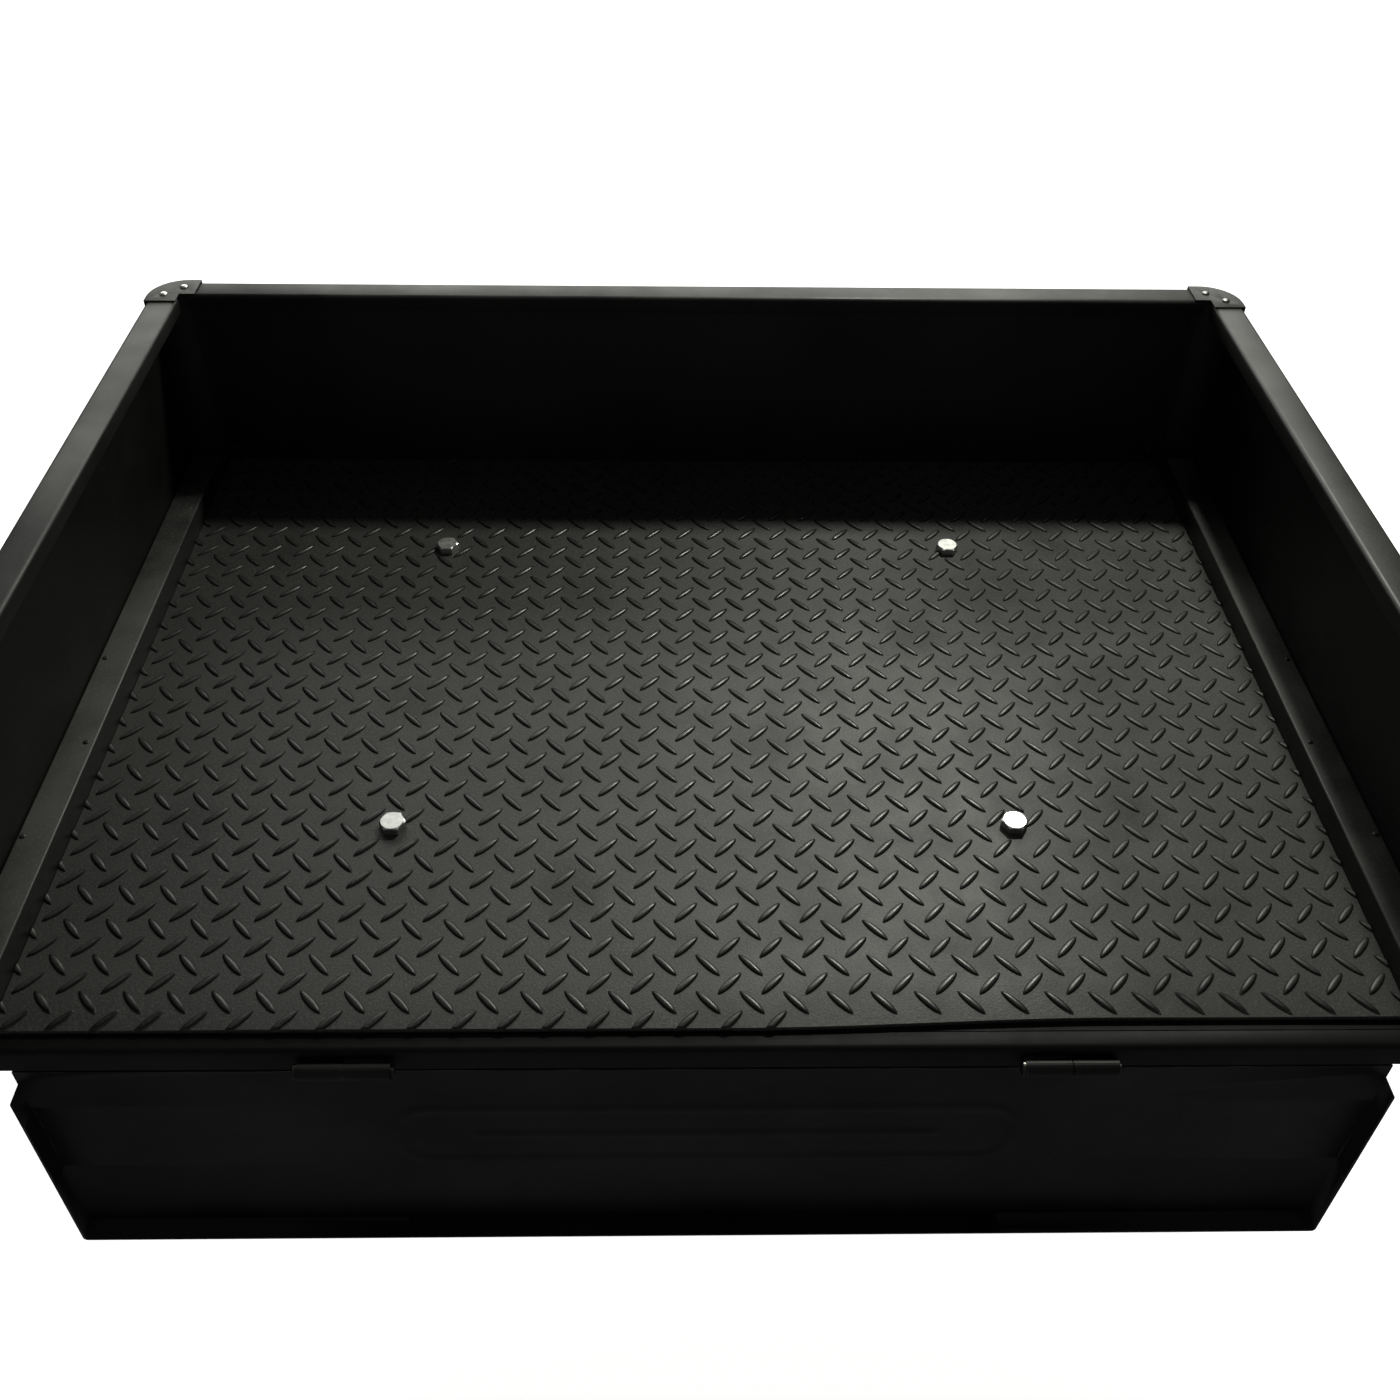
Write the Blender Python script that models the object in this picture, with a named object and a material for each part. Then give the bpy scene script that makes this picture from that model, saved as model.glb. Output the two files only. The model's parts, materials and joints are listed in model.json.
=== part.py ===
"""Hitch cargo carrier: an open steel box with a drop-down tailgate on a hitch sub-frame.

Metres, +Z up, +Y towards the towing vehicle, +X to the right for someone facing the vehicle.
The origin is on the underside of the hitch shank, straight below the axis of the hitch pin.
"front" is the vehicle's side of the box and "rear" is the tailgate's side.
The tailgate is stored open, hanging straight down from its two hinges.
"""

import math

import bmesh
import bpy
from mathutils import Vector

# ---- Driving dimensions ------------------------------------------------------------------

GAP = 0.0003  # between pieces that touch
HOLE_GAP = 0.0003  # radial room of a fastener or shaft in its hole
CHAMFER = 0.0008  # on the ends of turned parts

# Hitch shank, a 2 inch square tube
SHANK_SIZE = 0.0508
SHANK_WALL = 0.0048
SHANK_END_Y = 0.0635  # beyond the pin's axis
SHANK_PAST_BEAM = 0.035
PIN_RADIUS = 0.0079
PIN_HOLE_GAP = 0.0004
PIN_REACH = 0.052  # from the shank's middle to the pin's end, and to the middle of its handle
PIN_HANDLE = 0.048
PIN_BEND = 0.014
CLIP_X = 0.0435
CLIP_RADIUS = 0.0016
CLIP_ROOM = 0.0012  # between the pin and the clip's spring leg
CLIP_ABOVE = 0.030
CLIP_BELOW = 0.020
CLIP_LIP_BELOW = 0.016
CLIP_FLARE = 0.005
CLIP_BEND = 0.005

# Cross beams under the floor
BEAM_SIZE = 0.040
BEAM_WALL = 0.0025
BEAM_LENGTH = 0.600
FRONT_BEAM_BACK = 0.147  # beam axis behind the front panel's inner face
BEAM_SPACING = 0.338
PLUG_PLATE = 0.003
PLUG_SPIGOT = 0.012

# Box
FRONT_PANEL_Y = -0.240  # inner face of the front panel
BAY_DEPTH = 0.671  # from that face to the outer face of the rear sill
PANEL_T = 0.0015
FLOOR_T = 0.002
SHEET_BEND = 0.003  # middle-line radius of a tight fold
PANEL_OUT_X = 0.4757  # outer face of a side panel
CORNER_RADIUS = 0.028  # outer bend of the front panel round each corner
RIM_HEIGHT = 0.180  # top of the rim rails above the mat
RAIL_OUT_X = 0.4775
RAIL_WIDTH = 0.0258
RAIL_LEG = 0.014
RAIL_T = 0.0015
RAIL_BEND = 0.003
END_CAP_T = 0.003
CAP_ARM = 0.039
CAP_T = 0.0010
CAP_RADIUS = 0.030
CAP_LEG = 0.016
RIVET_FROM_CORNER = 0.027
RIVET_SHANK = 0.0016
RIVET_HEAD = 0.0034
RIVET_HEIGHT = 0.0016
RIVET_LENGTH = 0.006

# Floor fittings
MAT_T = 0.0045
MAT_HALF_WIDTH = 0.4482
MAT_REAR_SETBACK = 0.0138  # the mat stops this far in front of the sill's outer face
MAT_FRONT_GAP = 0.001
LEDGE_SIZE = 0.0254
LEDGE_WALL = 0.0016
POST_LEG = 0.0200
POST_T = 0.002
SILL_LEG = 0.0135
BOLT_X = 0.223
BOLT_RADIUS = 0.005
BOLT_HEX = 0.017
BOLT_HEAD = 0.0064
BOLT_FACE = 0.0081  # radius of the round face left by the head's chamfer
BOLT_TIP = 0.003  # showing past the nut
NUT_HEIGHT = 0.008
WASHER_RADIUS = 0.010
WASHER_T = 0.002

# Tailgate
GATE_HALF_WIDTH = 0.438
GATE_T = 0.0015
GATE_FLANGE = 0.015
GATE_TOP_DROP = 0.0092  # from the hinge axis down to the panel's hinge edge
GATE_FREE_EDGE = 0.1935  # from the hinge axis to the free edge
FLANGE_START = 0.020  # from the hinge axis to where the side flanges begin
HINGE_DROP = 0.0165  # hinge axis below the mat's top
HINGE_STANDOFF = 0.0065  # hinge axis behind the sill's outer face
SILL_BELOW_AXIS = 0.0078
HINGE_X = 0.228
KNUCKLE = 0.029
KNUCKLE_RADIUS = 0.0055
HINGE_PIN_RADIUS = 0.003
PIN_HEAD = 0.0022
PIN_HEAD_RADIUS = 0.0048
LEAF_T = 0.0025
SILL_FOOT = 0.0050  # half height of the foot that holds a knuckle to the sill
GATE_FOOT = 0.0128  # from the hinge axis to the end of the foot on the tailgate
GATE_FOOT_RISE = 0.0015

# Tailgate bolts
BOLT_LINE = 0.158  # from the hinge axis to the sliding bolts
ROD_RADIUS = 0.005
ROD_INNER_X = 0.315
ROD_OUTER_X = 0.4475
HANDLE_X = 0.366
HANDLE_RADIUS = 0.004
HANDLE_LENGTH = 0.0335
KNOB_RADIUS = 0.0055
KNOB_LENGTH = 0.0095
GUIDE_INNER_X = 0.351
GUIDE_OUTER_X = 0.411
GUIDE_WIDTH = 0.012
GUIDE_SIZE = 0.016
GUIDE_PLATE_T = 0.002
GUIDE_MARGIN = 0.004  # of the guide's plate round its two blocks
KEEPER_REACH = 0.037
KEEPER_HEIGHT = 0.028
KEEPER_T = 0.0025
KEEPER_ROOM = 0.001  # radial room of a sliding bolt in its keeper

# ---- Levels worked out from them ---------------------------------------------------------

BEAM_Z = SHANK_SIZE + GAP
FLOOR_Z = BEAM_Z + BEAM_SIZE + GAP
FLOOR_TOP = FLOOR_Z + FLOOR_T
MAT_Z = FLOOR_TOP + GAP
MAT_TOP = MAT_Z + MAT_T
RIM_TOP = MAT_TOP + RIM_HEIGHT
PANEL_IN_X = PANEL_OUT_X - PANEL_T
RAIL_IN_X = RAIL_OUT_X - RAIL_WIDTH
PANEL_TOP = RIM_TOP - RAIL_T - RAIL_BEND
FRONT_OUT_Y = FRONT_PANEL_Y + PANEL_T
RAIL_FRONT_Y = FRONT_OUT_Y + RAIL_OUT_X - PANEL_OUT_X
SILL_Y = FRONT_PANEL_Y - BAY_DEPTH
HINGE_Y = SILL_Y - HINGE_STANDOFF
HINGE_Z = MAT_TOP - HINGE_DROP
SKIRT_Z = HINGE_Z - SILL_BELOW_AXIS
FRONT_BEAM_Y = FRONT_PANEL_Y - FRONT_BEAM_BACK
BEAM_YS = {"front": FRONT_BEAM_Y, "rear": FRONT_BEAM_Y - BEAM_SPACING}
SHANK_REAR_Y = BEAM_YS["rear"] - SHANK_PAST_BEAM
PIN_Z = SHANK_SIZE / 2
SIDES = {"left": -1, "right": 1}

FINISHES = {
    "powder_coat": ((0.012, 0.012, 0.013), 0.38, 0.0),
    "rubber": ((0.035, 0.035, 0.034), 0.62, 0.0),
    "zinc": ((0.62, 0.62, 0.60), 0.30, 1.0),
    "plastic": ((0.02, 0.02, 0.02), 0.50, 0.0),
}

# ---- Outlines ----------------------------------------------------------------------------


def circle(centre, radius, count=24):
    """Return points round a circle."""
    angles = [math.tau * i / count for i in range(count)]
    return [(centre[0] + radius * math.cos(a), centre[1] + radius * math.sin(a)) for a in angles]


def hexagon(centre, across_flats, count=24):
    """Return a hexagon as points at the same angles as a circle's, with a point on each corner."""
    points = []
    for i in range(count):
        angle = math.tau * i / count
        from_flat = (angle + math.pi / 6) % (math.pi / 3) - math.pi / 6
        reach = across_flats / 2 / math.cos(math.pi / 6 - abs(from_flat))
        points.append((centre[0] + reach * math.cos(angle), centre[1] + reach * math.sin(angle)))
    return points


def box_outline(low, high, radius=0.0, steps=3):
    """Return a rectangle, with rounded corners where a radius is given."""
    left, bottom = low[0] + radius, low[1] + radius
    right, top = high[0] - radius, high[1] - radius
    centres = ((right, top), (left, top), (left, bottom), (right, bottom))
    if not radius:
        return list(centres)
    points = []
    for quarter, (x, y) in enumerate(centres):
        for i in range(steps + 1):
            angle = (quarter + i / steps) * math.pi / 2
            points.append((x + radius * math.cos(angle), y + radius * math.sin(angle)))
    return points


def rounded_path(points, radius, steps):
    """Return a path with an arc of the given radius at each corner between its ends."""
    points = [Vector(point) for point in points]
    path = [points[0]]
    for before, corner, after in zip(points, points[1:], points[2:]):
        back = (before - corner).normalized()
        ahead = (after - corner).normalized()
        half = back.angle(ahead) / 2
        centre = corner + (back + ahead).normalized() * radius / math.sin(half)
        first = corner + back * radius / math.tan(half) - centre
        last = corner + ahead * radius / math.tan(half) - centre
        turn = math.pi - 2 * half
        for i in range(steps + 1):
            share = i / steps
            step = first * math.sin((1 - share) * turn) + last * math.sin(share * turn)
            path.append(centre + step / math.sin(turn))
    path.append(points[-1])
    return path


def sheet_outline(points, thickness, radius, steps=4):
    """Return the section of a bent sheet from the middle line of its flats and its bend radius."""
    path = rounded_path(points, radius, steps)
    left, right = [], []
    for i, point in enumerate(path):
        before = (point - path[i - 1]).normalized() if i else (path[1] - point).normalized()
        after = (path[i + 1] - point).normalized() if i + 1 < len(path) else before
        along = (before + after).normalized()
        across = Vector((-along.y, along.x))
        reach = thickness / 2 / across.dot(Vector((-before.y, before.x)))
        left.append(tuple(point + across * reach))
        right.append(tuple(point - across * reach))
    return left + right[::-1]


# ---- Solids ------------------------------------------------------------------------------


def at_depth(axis, a, b, depth):
    """Return the point at plane coordinates a, b and the given depth along an axis."""
    if axis == "X":
        return (depth, a, b)
    if axis == "Y":
        return (a, depth, b)
    return (a, b, depth)


def make_material(node, finish):
    """Return a new material for one sub-part."""
    colour, roughness, metallic = FINISHES[finish]
    material = bpy.data.materials.new(f"{node}_{finish}")
    material.use_nodes = True
    shader = material.node_tree.nodes["Principled BSDF"]
    shader.inputs["Base Color"].default_value = (*colour, 1.0)
    shader.inputs["Roughness"].default_value = roughness
    shader.inputs["Metallic"].default_value = metallic
    material.diffuse_color = (*colour, 1.0)
    return material


def add_object(name, shape, finish=None):
    """Turn a bmesh into an object, as a sub-part with a finish or as a cutter without one."""
    bmesh.ops.recalc_face_normals(shape, faces=shape.faces)
    mesh = bpy.data.meshes.new(name)
    shape.to_mesh(mesh)
    shape.free()
    obj = bpy.data.objects.new(name, mesh)
    bpy.context.scene.collection.objects.link(obj)
    if finish:
        mesh.materials.append(make_material(name, finish))
    else:
        obj.hide_render = True
        obj.display_type = "WIRE"
    return obj


def add_loops(shape, rings, axis):
    """Add the vertices of outlines, given as (depth, outline), and return them ring by ring."""
    loops = []
    for depth, outline in rings:
        loops.append([shape.verts.new(at_depth(axis, a, b, depth)) for a, b in outline])
    return loops


def loft(rings, axis):
    """Return a closed shape through outlines with equal point counts, as (depth, outline)."""
    shape = bmesh.new()
    loops = add_loops(shape, rings, axis)
    shape.faces.new(loops[0])
    shape.faces.new(loops[-1])
    for lower, upper in zip(loops, loops[1:]):
        for i in range(len(lower)):
            j = (i + 1) % len(lower)
            shape.faces.new((lower[i], lower[j], upper[j], upper[i]))
    return shape


def ring_prism(outer, inner, axis, low, high):
    """Return a straight tube between two outlines with equal point counts."""
    shape = bmesh.new()
    sections = ((low, outer), (high, outer), (high, inner), (low, inner))
    loops = add_loops(shape, sections, axis)
    for k in range(4):
        first, second = loops[k], loops[(k + 1) % 4]
        for i in range(len(outer)):
            j = (i + 1) % len(outer)
            shape.faces.new((first[i], first[j], second[j], second[i]))
    return shape


def prism(outline, axis, low, high):
    """Return a straight extrusion of an outline."""
    return loft(((low, outline), (high, outline)), axis)


def box(low, high):
    """Return a plain box between two corners."""
    return prism(box_outline(low[:2], high[:2]), "Z", low[2], high[2])


def rod(path, radius, normal, count):
    """Return a round bar along a flat path, given the normal of the path's plane."""
    side = Vector(normal)
    shape = bmesh.new()
    loops = []
    for i, point in enumerate(path):
        ahead = path[min(i + 1, len(path) - 1)] - path[max(i - 1, 0)]
        other = ahead.cross(side).normalized()
        section = circle((0, 0), radius, count)
        loops.append([shape.verts.new(point + side * a + other * b) for a, b in section])
    shape.faces.new(loops[0])
    shape.faces.new(loops[-1])
    for lower, upper in zip(loops, loops[1:]):
        for k in range(count):
            shape.faces.new((lower[k], lower[(k + 1) % count], upper[(k + 1) % count], upper[k]))
    return shape


def shade_round(obj, degrees=35):
    """Shade a turned or bent piece smooth, with its real edges kept sharp."""
    obj.data.shade_smooth()
    obj.data.set_sharp_from_angle(angle=math.radians(degrees))


def combine(obj, shape, operation):
    """Add a Boolean modifier that cuts or joins a shape, kept as a hidden object."""
    tool = add_object(f"{obj.name}_{operation.lower()}_{len(obj.modifiers)}", shape)
    modifier = obj.modifiers.new(operation.title(), "BOOLEAN")
    modifier.operation = operation
    modifier.solver = "EXACT"
    modifier.object = tool


def drill(obj, axis, centre, radius, low, high):
    """Cut a round hole along an axis."""
    combine(obj, prism(circle(centre, radius), axis, low, high), "DIFFERENCE")


# ---- Hitch sub-frame ---------------------------------------------------------------------


def square_outline(centre, size, radius):
    """Return a square with rounded corners about its centre."""
    half = size / 2
    low = (centre[0] - half, centre[1] - half)
    high = (centre[0] + half, centre[1] + half)
    return box_outline(low, high, radius)


def square_tube(name, axis, centre, size, wall, low, high):
    """Make a square tube with rounded corners along X or Y."""
    outer = square_outline(centre, size, wall)
    inner = square_outline(centre, size - 2 * wall, wall / 4)
    return add_object(name, ring_prism(outer, inner, axis, low, high), "powder_coat")


def make_shank():
    """Make the hitch shank with its cross hole for the hitch pin."""
    axis = (0, PIN_Z)
    shank = square_tube("hitch_shank", "Y", axis, SHANK_SIZE, SHANK_WALL, SHANK_REAR_Y, SHANK_END_Y)
    drill(shank, "X", axis, PIN_RADIUS + PIN_HOLE_GAP, -SHANK_SIZE, SHANK_SIZE)


def make_hitch_pin():
    """Make the bent hitch pin and the spring clip through its end."""
    corners = ((PIN_REACH, 0, PIN_Z), (-PIN_REACH, 0, PIN_Z), (-PIN_REACH, -PIN_HANDLE, PIN_Z))
    path = rounded_path(corners, PIN_BEND, 6)
    pin = add_object("hitch_pin", rod(path, PIN_RADIUS, (0, 0, 1), 24), "zinc")
    shade_round(pin)
    drill(pin, "Z", (CLIP_X, 0), CLIP_RADIUS + HOLE_GAP, 0, SHANK_SIZE)
    clear_y = PIN_RADIUS + CLIP_RADIUS + CLIP_ROOM
    low_z, top_z, lip_z = PIN_Z - CLIP_BELOW, PIN_Z + CLIP_ABOVE, PIN_Z - CLIP_LIP_BELOW
    corners = (
        (CLIP_X, 0, low_z),
        (CLIP_X, 0, top_z),
        (CLIP_X, clear_y + CLIP_FLARE, top_z),
        (CLIP_X, clear_y, PIN_Z),
        (CLIP_X, clear_y + CLIP_FLARE, lip_z),
    )
    route = rounded_path(corners, CLIP_BEND, 5)
    clip = add_object("hitch_pin_clip", rod(route, CLIP_RADIUS, (1, 0, 0), 12), "zinc")
    shade_round(clip)


def make_beam(place, beam_y):
    """Make a cross beam with holes for its two floor bolts and a plug in each end."""
    half = BEAM_LENGTH / 2
    middle_z = BEAM_Z + BEAM_SIZE / 2
    centre = (beam_y, middle_z)
    beam = square_tube(f"{place}_beam", "X", centre, BEAM_SIZE, BEAM_WALL, -half, half)
    for sign in SIDES.values():
        hole = (sign * BOLT_X, beam_y)
        drill(beam, "Z", hole, BOLT_RADIUS + HOLE_GAP, BEAM_Z - GAP, FLOOR_Z)
    outline = square_outline(centre, BEAM_SIZE, BEAM_WALL)
    spigot = square_outline(centre, BEAM_SIZE - 2 * BEAM_WALL - 2 * GAP, BEAM_WALL / 2)
    for side, sign in SIDES.items():
        face = sign * (half + GAP)
        rings = (
            (face + sign * PLUG_PLATE, outline),
            (face, outline),
            (face, spigot),
            (face - sign * PLUG_SPIGOT, spigot),
        )
        add_object(f"{place}_beam_plug_{side}", loft(rings, "X"), "plastic")


def make_floor_fixing(place, side, centre):
    """Make one hex bolt through mat, floor and beam, with its washer and nut."""
    head_z = MAT_TOP + GAP
    washer_z = BEAM_Z - GAP - WASHER_T
    nut_z = washer_z - GAP - NUT_HEIGHT
    tip_z = nut_z - BOLT_TIP
    rings = (
        (tip_z, circle(centre, BOLT_RADIUS - CHAMFER)),
        (tip_z + CHAMFER, circle(centre, BOLT_RADIUS)),
        (head_z, circle(centre, BOLT_RADIUS)),
        (head_z, hexagon(centre, BOLT_HEX)),
        (head_z + BOLT_HEAD - CHAMFER, hexagon(centre, BOLT_HEX)),
        (head_z + BOLT_HEAD, circle(centre, BOLT_FACE)),
    )
    name = f"{place}_{side}"
    add_object(f"floor_bolt_{name}", loft(rings, "Z"), "zinc")
    bore = circle(centre, BOLT_RADIUS + HOLE_GAP)
    washer = ring_prism(circle(centre, WASHER_RADIUS), bore, "Z", washer_z, washer_z + WASHER_T)
    shade_round(add_object(f"floor_washer_{name}", washer, "zinc"))
    nut = ring_prism(hexagon(centre, BOLT_HEX), bore, "Z", nut_z, nut_z + NUT_HEIGHT)
    add_object(f"floor_nut_{name}", nut, "zinc")


# ---- Box ---------------------------------------------------------------------------------


def drill_floor_bolts(obj, low, high):
    """Cut the four floor-bolt holes."""
    for beam_y in BEAM_YS.values():
        for sign in SIDES.values():
            drill(obj, "Z", (sign * BOLT_X, beam_y), BOLT_RADIUS + HOLE_GAP, low, high)


def make_floor():
    """Make the floor sheet with its rounded front corners, the rear sill and the mat."""
    edge_x = PANEL_IN_X - GAP
    front_y = FRONT_PANEL_Y - GAP
    seam_y = SILL_Y + SILL_LEG
    radius = CORNER_RADIUS - PANEL_T - GAP
    corners = ((edge_x, seam_y), (edge_x, front_y), (-edge_x, front_y), (-edge_x, seam_y))
    outline = [tuple(point) for point in rounded_path(corners, radius, 6)]
    floor = add_object("floor_pan", prism(outline, "Z", FLOOR_Z, FLOOR_TOP), "powder_coat")
    drill_floor_bolts(floor, BEAM_Z, MAT_TOP)

    middle_z = FLOOR_Z + FLOOR_T / 2
    middle_y = SILL_Y + FLOOR_T / 2
    path = ((seam_y - GAP, middle_z), (middle_y, middle_z), (middle_y, SKIRT_Z))
    section = sheet_outline(path, FLOOR_T, SHEET_BEND)
    sill = add_object("rear_sill", prism(section, "X", -edge_x, edge_x), "powder_coat")
    shade_round(sill, 50)

    low = (-MAT_HALF_WIDTH, SILL_Y + MAT_REAR_SETBACK, MAT_Z)
    high = (MAT_HALF_WIDTH, FRONT_PANEL_Y - MAT_FRONT_GAP, MAT_TOP)
    mat = add_object("floor_mat", box(low, high), "rubber")
    drill_floor_bolts(mat, FLOOR_Z, RIM_TOP)


def make_side(side, sign):
    """Make a side panel, its rim rail, its floor ledge and its rear post."""
    corner_y = FRONT_OUT_Y - CORNER_RADIUS - GAP
    low_x, high_x = sorted((sign * PANEL_IN_X, sign * PANEL_OUT_X))
    panel = box((low_x, SILL_Y, SKIRT_Z), (high_x, corner_y, PANEL_TOP))
    add_object(f"side_panel_{side}", panel, "powder_coat")

    rail_end = RAIL_FRONT_Y - CAP_RADIUS - GAP
    section = rail_section(sign * (RAIL_OUT_X - RAIL_WIDTH / 2))
    rail = add_object(f"rim_rail_{side}", prism(section, "Y", SILL_Y, rail_end), "powder_coat")
    shade_round(rail, 50)
    end_cap = add_object(f"rim_end_cap_{side}", rim_end_cap(sign), "plastic")
    shade_round(end_cap, 50)

    ledge_x = sign * (PANEL_IN_X - GAP - LEDGE_SIZE / 2)
    post_y = SILL_Y + POST_LEG + GAP
    ledge_end = FRONT_PANEL_Y - CORNER_RADIUS + PANEL_T
    centre = (ledge_x, MAT_Z + LEDGE_SIZE / 2)
    name = f"floor_ledge_{side}"
    ledge = square_tube(name, "Y", centre, LEDGE_SIZE, LEDGE_WALL, post_y, ledge_end)
    shade_round(ledge, 50)

    middle = POST_T / 2
    wall_x = PANEL_IN_X - GAP - middle
    path = (
        (sign * (wall_x + middle - POST_LEG), SILL_Y + middle),
        (sign * wall_x, SILL_Y + middle),
        (sign * wall_x, SILL_Y + POST_LEG),
    )
    section = sheet_outline(path, POST_T, SHEET_BEND)
    post = add_object(f"rear_post_{side}", prism(section, "Z", MAT_Z, PANEL_TOP), "powder_coat")
    shade_round(post, 50)


def rail_section(middle):
    """Return the section of a rim rail: a channel over the panel's edge, open below."""
    half = RAIL_WIDTH / 2 - RAIL_T / 2
    top = RIM_TOP - RAIL_T / 2
    low = RIM_TOP - RAIL_LEG
    path = ((middle - half, low), (middle - half, top), (middle + half, top), (middle + half, low))
    return sheet_outline(path, RAIL_T, RAIL_BEND)


def rim_end_cap(sign):
    """Return the moulded plug that closes a rim rail's rear end."""
    low_x, high_x = sorted((sign * RAIL_IN_X, sign * RAIL_OUT_X))
    low_z = RIM_TOP - RAIL_LEG
    outline = box_outline((low_x, low_z), (high_x, RIM_TOP), RAIL_BEND)
    small = box_outline(
        (low_x + CHAMFER, low_z + CHAMFER), (high_x - CHAMFER, RIM_TOP - CHAMFER), RAIL_BEND - CHAMFER
    )
    face_y = SILL_Y - GAP - END_CAP_T
    rings = ((face_y, small), (face_y + CHAMFER, outline), (SILL_Y - GAP, outline))
    return loft(rings, "Y")


def make_front():
    """Make the front panel with its rounded ends and the front rim rail."""
    middle = PANEL_T / 2
    end_x = PANEL_OUT_X - middle
    end_y = FRONT_OUT_Y - CORNER_RADIUS - GAP / 2
    path = (
        (-end_x, end_y),
        (-end_x, FRONT_PANEL_Y + middle),
        (end_x, FRONT_PANEL_Y + middle),
        (end_x, end_y),
    )
    outline = sheet_outline(path, PANEL_T, CORNER_RADIUS - middle, 8)
    panel = add_object("front_panel", prism(outline, "Z", SKIRT_Z, PANEL_TOP), "powder_coat")
    shade_round(panel, 30)

    end = RAIL_OUT_X - CAP_RADIUS - GAP
    section = rail_section(RAIL_FRONT_Y - RAIL_WIDTH / 2)
    rail = add_object("rim_rail_front", prism(section, "X", -end, end), "powder_coat")
    shade_round(rail, 50)


def corner_outline(sign, margin, inset, arm):
    """Return an L over a rim corner that passes the rails by a margin outside and inside."""
    out_x, in_x = RAIL_OUT_X + margin, RAIL_IN_X - inset
    out_y = RAIL_FRONT_Y + margin
    in_y = RAIL_FRONT_Y - RAIL_WIDTH - inset
    far_x, far_y = RAIL_OUT_X - arm, RAIL_FRONT_Y - arm
    outer = rounded_path(((out_x, far_y), (out_x, out_y), (far_x, out_y)), CAP_RADIUS + margin, 8)
    inner = [(far_x, in_y), (in_x, in_y), (in_x, far_y)]
    return [(sign * point[0], point[1]) for point in (*outer, *inner)]


def make_corner(side, sign):
    """Make a corner cap with a skirt outside, over the ends of two rails, and its two rivets."""
    margin = GAP + CAP_T
    top = RIM_TOP + margin
    shell = prism(corner_outline(sign, margin, 0.0, CAP_ARM), "Z", RIM_TOP - CAP_LEG, top)
    cap = add_object(f"corner_cap_{side}", shell, "powder_coat")
    inside = corner_outline(sign, GAP, CAP_T, 2 * CAP_ARM)
    hollow = prism(inside, "Z", RIM_TOP - 2 * CAP_LEG, RIM_TOP + GAP)
    combine(cap, hollow, "DIFFERENCE")
    shade_round(cap, 30)
    inset = RAIL_WIDTH / 2
    places = (
        (sign * (RAIL_OUT_X - inset), RAIL_FRONT_Y - RIVET_FROM_CORNER),
        (sign * (RAIL_OUT_X - RIVET_FROM_CORNER), RAIL_FRONT_Y - inset),
    )
    for number, centre in enumerate(places, 1):
        drill(cap, "Z", centre, RIVET_SHANK + HOLE_GAP, RIM_TOP - RAIL_LEG, top + CAP_T)
        rivet = add_object(f"corner_rivet_{side}_{number}", dome_rivet(centre, top + GAP), "zinc")
        shade_round(rivet)


def dome_rivet(centre, seat, count=16, steps=5):
    """Return an upright rivet whose domed head sits on the seat."""
    shank = circle(centre, RIVET_SHANK, count)
    rings = [(seat - RIVET_LENGTH, shank), (seat, shank)]
    for i in range(steps):
        angle = i / steps * math.pi / 2
        outline = circle(centre, RIVET_HEAD * math.cos(angle), count)
        rings.append((seat + RIVET_HEIGHT * math.sin(angle), outline))
    return loft(rings, "Z")


# ---- Tailgate ----------------------------------------------------------------------------


def make_gate():
    """Make the hanging tailgate: one sheet with flanges on its sides and its free edge."""
    inner_y = SILL_Y
    outer_y = inner_y + GATE_T
    flange_y = inner_y - GATE_FLANGE
    top = HINGE_Z - GATE_TOP_DROP
    bottom = HINGE_Z - GATE_FREE_EDGE
    flange_top = HINGE_Z - FLANGE_START
    inside_x = GATE_HALF_WIDTH - GATE_T
    outline = box_outline((-GATE_HALF_WIDTH, bottom), (GATE_HALF_WIDTH, flange_top), 2 * GATE_T)
    gate = add_object("tailgate_panel", prism(outline, "Y", flange_y, outer_y), "powder_coat")
    hollow = box_outline((-inside_x, bottom + GATE_T), (inside_x, HINGE_Z), GATE_T)
    combine(gate, prism(hollow, "Y", flange_y - GATE_FLANGE, inner_y), "DIFFERENCE")
    upper = box((-GATE_HALF_WIDTH, inner_y, flange_top - 4 * GATE_T), (GATE_HALF_WIDTH, outer_y, top))
    combine(gate, upper, "UNION")


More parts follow.
